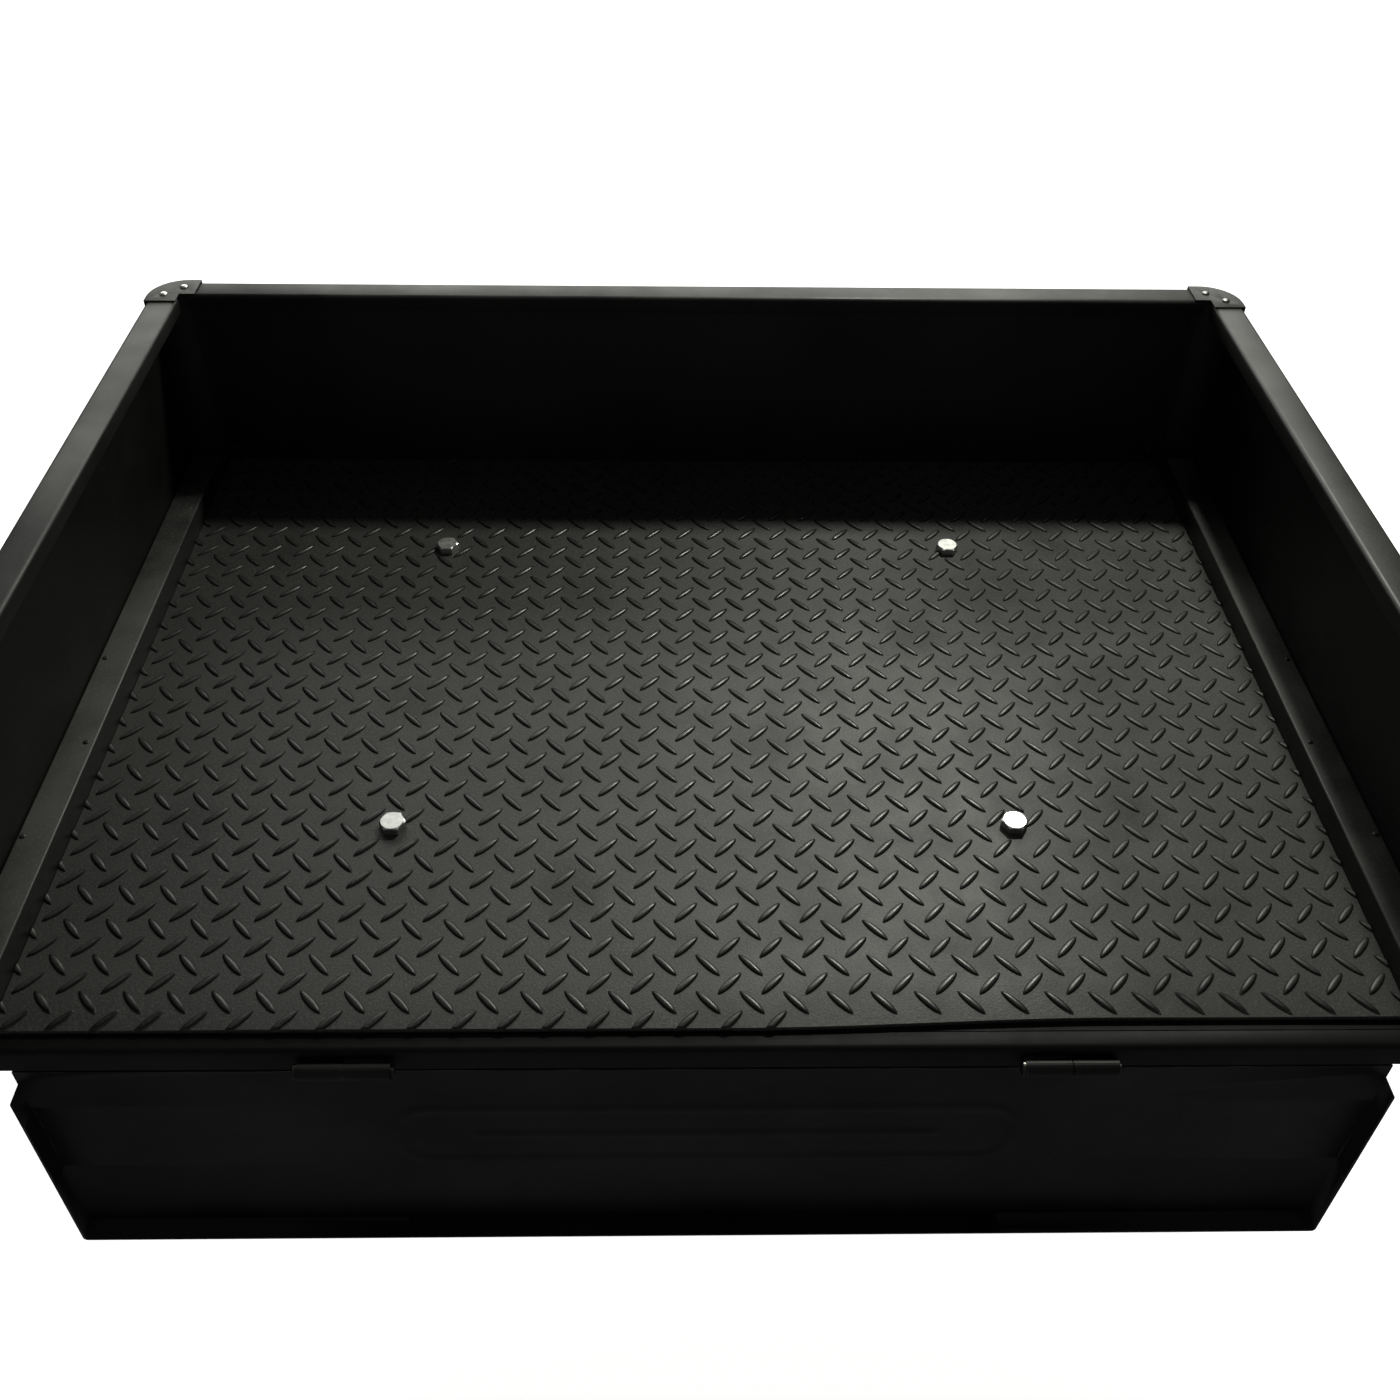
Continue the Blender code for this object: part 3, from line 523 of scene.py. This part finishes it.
def lug_shape():
    """Return one tread lug, a long low dome with its long axis on X: its points and faces."""
    stations, sides = 13, 8
    roundness, fullness = 2.2, 2.3
    blunt = 0.004  # keeps the ends from closing to a point
    points, faces = [], []
    for i in range(stations):
        u = -math.cos(math.pi * i / (stations - 1))
        swell = max(1 - abs(u) ** roundness, blunt)
        half = LUG_HALF_WIDTH * swell**0.62
        crown = LUG_HEIGHT * swell**0.5
        for k in range(sides + 1):
            v = -math.cos(math.pi * k / sides)
            rise = max(1 - abs(v) ** fullness, 0.0) ** 0.62
            points.append((u * LUG_HALF_LENGTH, v * half, crown * rise))
        points.append((u * LUG_HALF_LENGTH, half, -LUG_SUNK))
        points.append((u * LUG_HALF_LENGTH, -half, -LUG_SUNK))
    ring = sides + 3
    for i in range(stations - 1):
        for k in range(ring):
            a, b = i * ring + k, i * ring + (k + 1) % ring
            faces.append((a, a + ring, b + ring, b))
    faces.append(tuple(range(ring)))
    last = (stations - 1) * ring
    faces.append(tuple(reversed(range(last, last + ring))))
    return np.array(points), faces


def mat_lugs():
    """Return every tread lug of the mat, in two crossed sets on a staggered lattice."""
    shape, shape_faces = lug_shape()
    reach = int(1.2 / PITCH_X)
    points, faces = [], []
    count = 0
    for slant, offset in ((1, 0.0), (-1, 0.5)):
        angle = slant * LUG_TILT + LATTICE_TURN
        c, s = math.cos(angle), math.sin(angle)
        long_axis, cross_axis = shape[:, 0], shape[:, 1]
        x_of, y_of = long_axis * c - cross_axis * s, long_axis * s + cross_axis * c
        turned = np.stack([x_of, y_of, shape[:, 2]], -1)
        span = np.abs(turned[:, :2]).max(0)
        for i in range(-reach, reach):
            for j in range(-reach, reach):
                u = LATTICE_X + (i + offset) * PITCH_X
                v = LATTICE_Y + (j + offset) * PITCH_Y
                x = u * math.cos(LATTICE_TURN) - v * math.sin(LATTICE_TURN)
                y = u * math.sin(LATTICE_TURN) + v * math.cos(LATTICE_TURN)
                if not (mat_low.x < x + span[0] and x - span[0] < mat_high.x):
                    continue
                if not (mat_low.y < y + span[1] and y - span[1] < mat_high.y):
                    continue
                if any(math.hypot(x - bx, y - by) < BOLT_HEAD_ROOM for bx, by in bolt_spots):
                    continue
                if EDGE_SHORT * to_right(x) > TRIM and y - span[1] < rear_edge(x):
                    continue
                place = turned + np.array((x, y, 0.0))
                place[:, 2] += mat_high.z + mat_lift(place[:, 0], place[:, 1])
                points.append(place)
                base = count * len(shape)
                faces.extend(tuple(base + k for k in face) for face in shape_faces)
                count += 1
    lugs = mesh_from("mat_lugs", np.concatenate(points), faces)
    trim(lugs, (mat_low.x + TRIM, 0, 0), (-1, 0, 0))
    trim(lugs, (mat_high.x - TRIM, 0, 0), (1, 0, 0))
    trim(lugs, (0, mat_low.y + TRIM, 0), (0, -1, 0))
    trim(lugs, (0, mat_high.y - TRIM, 0), (0, 1, 0))
    lugs.shade_smooth()
    lugs.set_sharp_from_angle(angle=math.radians(60))
    return lugs


RUBBER = rubber("moulded_rubber", mat_high.z, mat_low.y, TAPER_DEPTH, TAPER_DROP)
slab = bpy.data.objects.new("mat_sheet", mat_slab())
bpy.context.scene.collection.objects.link(slab)
holes = []
for x, y in bolt_spots:
    bpy.ops.mesh.primitive_cylinder_add(
        vertices=24, radius=BOLT_HOLE_RADIUS, depth=BOLT_HOLE_DEPTH, location=(x, y, mat_high.z)
    )
    holes.append(bpy.context.object)
carve(slab, holes)
shape = bmesh.new()
shape.from_mesh(slab.data)
shape.from_mesh(mat_lugs())
whole = bpy.data.meshes.new("rubber_mat")
shape.to_mesh(whole)
shape.free()
bpy.data.objects.remove(slab, do_unlink=True)
mat = add_piece("rubber_mat", whole, RUBBER, "carrier")
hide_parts("floor_mat")

# ---- Tailgate sheet with a pressed bead --------------------------------------------------

BEAD_HALF_LENGTH = 0.205
BEAD_HALF_HEIGHT = 0.030
BEAD_CORNER = 0.022
BEAD_HALF_WIDTH = 0.0065
BEAD_DEPTH = 0.0013
BEAD_DROP = 0.075  # from the panel's hinge edge down to the middle of the bead
BAR_HALF_LENGTH = 0.150

_, gate_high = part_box("tailgate_panel")
bead_z = gate_high.z - BEAD_DROP


def bead_rise(x, z):
    """Return how far the pressed bead stands out of the tailgate's sheet at a place."""
    across = abs(x) - (BEAD_HALF_LENGTH - BEAD_CORNER)
    along = abs(z - bead_z) - (BEAD_HALF_HEIGHT - BEAD_CORNER)
    ring = math.hypot(max(across, 0), max(along, 0)) + min(max(across, along), 0) - BEAD_CORNER
    bar = math.hypot(max(abs(x) - BAR_HALF_LENGTH, 0), z - bead_z)
    nearest = min(abs(ring), bar) / BEAD_HALF_WIDTH
    return BEAD_DEPTH * max(1 - nearest**2, 0) ** 2


def pressed_gate():
    """Return the tailgate's sheet with its long pressed stiffening bead."""
    shape = bmesh.new()
    shape.from_mesh(NODES["tailgate_panel"].data)
    bmesh.ops.remove_doubles(shape, verts=shape.verts, dist=MERGE)
    reach = BEAD_HALF_WIDTH * 1.1
    ends = np.linspace(BAR_HALF_LENGTH - reach, BEAD_HALF_LENGTH + reach, 26)
    middle = np.linspace(-BAR_HALF_LENGTH + 0.02, BAR_HALF_LENGTH - 0.02, 9)
    cuts = [((x, 0, 0), (1, 0, 0)) for x in (*-ends, *middle, *ends)]
    height = BEAD_HALF_HEIGHT + reach
    cuts += [((0, 0, z), (0, 0, 1)) for z in np.linspace(bead_z - height, bead_z + height, 34)]
    for place, normal in cuts:
        everything = [*shape.verts, *shape.edges, *shape.faces]
        bmesh.ops.bisect_plane(shape, geom=everything, plane_co=place, plane_no=normal)
    for vertex in shape.verts:
        vertex.co.y -= bead_rise(vertex.co.x, vertex.co.z)
    mesh = bpy.data.meshes.new("tailgate_sheet")
    shape.to_mesh(mesh)
    shape.free()
    mesh.shade_smooth()
    mesh.set_sharp_from_angle(angle=math.radians(35))
    return mesh


gate_sheet = add_piece("tailgate_sheet", pressed_gate(), COATS_WITH_PAINTED_LIGHT["gate"], "tailgate")
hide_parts("tailgate_panel")

# ---- Rivets and weld beads ---------------------------------------------------------------


def dome(name, centre, axis, radius, height):
    """Add a low domed rivet head whose seat is at the centre."""
    count, steps = 20, 5
    sunk = 0.0003
    frame_up = Vector(axis).to_track_quat("Z", "Y").to_matrix()
    points, faces = [], []
    for level in range(steps + 1):
        angle = max(level - 1, 0) / steps * math.pi / 2
        reach = radius * math.cos(angle)
        rise = height * math.sin(angle) if level else -sunk
        for k in range(count):
            spin = 2 * math.pi * k / count
            offset = Vector((reach * math.cos(spin), reach * math.sin(spin), rise))
            points.append(Vector(centre) + frame_up @ offset)
    points.append(Vector(centre) + frame_up @ Vector((0, 0, height)))
    for level in range(steps):
        for k in range(count):
            a, b = level * count + k, level * count + (k + 1) % count
            faces.append((a, b, b + count, a + count))
    last = steps * count
    faces.append(tuple(reversed(range(count))))
    faces.extend((last + k, last + (k + 1) % count, len(points) - 1) for k in range(count))
    add_piece(name, mesh_from(name, points, faces, 50), COATS_WITH_PAINTED_LIGHT["frame"], "carrier")


LEDGE_RIVETS = ((0.4690, -0.563), (0.4550, -0.659), (0.4700, -0.753))
LEDGE_RIVET_SIZE = (0.0024, 0.0010)  # radius and height of the head
WALL_RIVETS = ((0.4410, 0.110), (0.3360, 0.239))
WALL_RIVET_SIZE = (0.0026, 0.0012)
PANEL_THICKNESS = 0.0015
ledge_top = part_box("floor_ledge_left")[1].z
wall_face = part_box("front_panel")[1].y - PANEL_THICKNESS
for side, sign in SIDES.items():
    for number, (x, y) in enumerate(LEDGE_RIVETS, 1):
        dome(f"ledge_rivet_{side}_{number}", (sign * x, y, ledge_top), (0, 0, 1), *LEDGE_RIVET_SIZE)
    for number, (x, z) in enumerate(WALL_RIVETS, 1):
        dome(f"wall_rivet_{side}_{number}", (sign * x, wall_face, z), (0, -1, 0), *WALL_RIVET_SIZE)


# a fillet weld's section along its two walls, as shares of its size
WELD_SECTION = (
    (-0.0003, -0.0003),
    (1.0, -0.0003),
    (0.80, 0.36),
    (0.55, 0.62),
    (0.34, 0.82),
    (-0.0003, 1.0),
)
WELD_STEP = 0.0009
RIPPLES = 1100  # radians of ripple per metre


def weld(start, end, first, second, size):
    """Return the points and faces of a rippled fillet weld in a corner between two walls."""
    start, end, first, second = (Vector(v) for v in (start, end, first, second))
    length = (end - start).length
    steps = max(int(length / WELD_STEP), 6)
    points, faces = [], []
    for i in range(steps + 1):
        share = i / steps
        taper = min(1.0, 0.35 + 6 * min(share, 1 - share))
        ripple = 0.88 + 0.12 * abs(math.sin(share * length * RIPPLES))
        for a, b in WELD_SECTION:
            grow = size * taper * ripple
            points.append(start.lerp(end, share) + first * a * grow + second * b * grow)
    ring = len(WELD_SECTION)
    turned = (end - start).dot(first.cross(second)) < 0
    for i in range(steps):
        for k in range(ring):
            a, b = i * ring + k, i * ring + (k + 1) % ring
            face = (a, b, b + ring, a + ring)
            faces.append(tuple(reversed(face)) if turned else face)
    last = steps * ring
    caps = [tuple(reversed(range(ring))), tuple(range(last, last + ring))]
    faces.extend(tuple(reversed(face)) if turned else face for face in caps)
    return points, faces


def add_welds(name, seams):
    """Add a set of weld beads as one piece."""
    points, faces = [], []
    for seam in seams:
        more, sides = weld(*seam)
        faces.extend(tuple(len(points) + k for k in face) for face in sides)
        points.extend(more)
    add_piece(name, mesh_from(name, points, faces, 40), COATS_WITH_PAINTED_LIGHT["frame"], "carrier")


shank_low, shank_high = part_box("hitch_shank")
pan_low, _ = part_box("floor_pan")
SHANK_INSET = 0.006
STITCHES = (-0.25, -0.14, 0.09, 0.20)
STITCH_LENGTH = 0.045
SHANK_WELD = 0.0055
FLOOR_WELD = 0.0045
for beam in ("front_beam", "rear_beam"):
    low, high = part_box(beam)
    for_shank, for_floor = [], []
    for y, out in ((low.y, -1), (high.y, 1)):
        left = (shank_low.x + SHANK_INSET, y, shank_high.z)
        right = (shank_high.x - SHANK_INSET, y, shank_high.z)
        for_shank.append((left, right, (0, out, 0), (0, 0, 1), SHANK_WELD))
        for x in STITCHES:
            seam = ((x, y, pan_low.z), (x + STITCH_LENGTH, y, pan_low.z))
            for_floor.append((*seam, (0, out, 0), (0, 0, -1), FLOOR_WELD))
    add_welds(f"weld_{beam}_shank", for_shank)
    add_welds(f"weld_{beam}_floor", for_floor)

# ---- Camera, light and floor -------------------------------------------------------------

CAMERA_AT = (-0.0248, -1.4298, 0.8511)
PITCH, YAW, ROLL = (math.radians(a) for a in (41.827, -1.600, 1.093))
FOCAL_LENGTH = 36.766

aim = Matrix.Rotation(YAW, 4, "Z") @ Matrix.Rotation(math.pi / 2 - PITCH, 4, "X")
turn = aim @ Matrix.Rotation(ROLL, 4, "Z")
camera = bpy.data.objects.new("camera", bpy.data.cameras.new("camera"))
camera.data.lens = FOCAL_LENGTH
camera.data.clip_start = 0.01
camera.data.clip_end = 200
camera.matrix_world = Matrix.Translation(CAMERA_AT) @ turn
bpy.context.scene.collection.objects.link(camera)
bpy.context.scene.camera = camera


def add_light(name, place, target, size, power, colour):
    """Add a rectangular light that faces a target and isn't seen by the camera."""
    data = bpy.data.lights.new(name, "AREA")
    data.shape = "RECTANGLE"
    data.size, data.size_y = size
    data.energy = power
    data.color = colour
    light = bpy.data.objects.new(name, data)
    light.location = place
    light.rotation_euler = (Vector(target) - Vector(place)).to_track_quat("-Z", "Y").to_euler()
    light.visible_camera = False
    bpy.context.scene.collection.objects.link(light)


add_light("key", (0.47, 0.25, 1.275), (0.1, -0.6, 0.1), (0.13, 0.13), 12.5, (0.985, 1.0, 0.90))
add_light("backdrop", (-0.3, 3.2, 1.75), (0, -0.6, 0.2), (5.0, 2.3), 86.0, (0.98, 1.0, 0.93))
add_light("left_wash", (-0.3, 1.65, 2.15), (-0.15, -0.6, 0.1), (1.4, 1.6), 6.8, (0.98, 1.0, 0.92))

FLOOR_Z = -0.42
FLOOR_SIZE = 60
bpy.ops.mesh.primitive_plane_add(size=FLOOR_SIZE, location=(0, 0, FLOOR_Z))
floor = bpy.context.object
floor.name = "studio_floor"
pale = Shader("studio_floor", (0.9, 0.9, 0.9), 0.9)
tone = pale.remap(pale.noise(1.5, 2, 0.5), 0.3, 0.7, 0.86, 0.90)
shade = pale.add("ShaderNodeCombineColor")
for channel in ("Red", "Green", "Blue"):
    pale.link(tone, shade.inputs[channel])
pale.feed("Base Color", shade.outputs["Color"])
pale.set("Emission Color", (1.0, 1.0, 1.0, 1.0))
pale.set("Emission Strength", 0.85)
floor.data.materials.append(pale.material)
floor.visible_glossy = False

world = bpy.data.worlds.new("studio")
bpy.context.scene.world = world
world.use_nodes = True
world.node_tree.nodes["Background"].inputs["Color"].default_value = (1.0, 1.0, 1.0, 1.0)
world.node_tree.nodes["Background"].inputs["Strength"].default_value = 0.075

bpy.context.scene.view_settings.view_transform = "Standard"
bpy.context.scene.view_settings.look = "None"
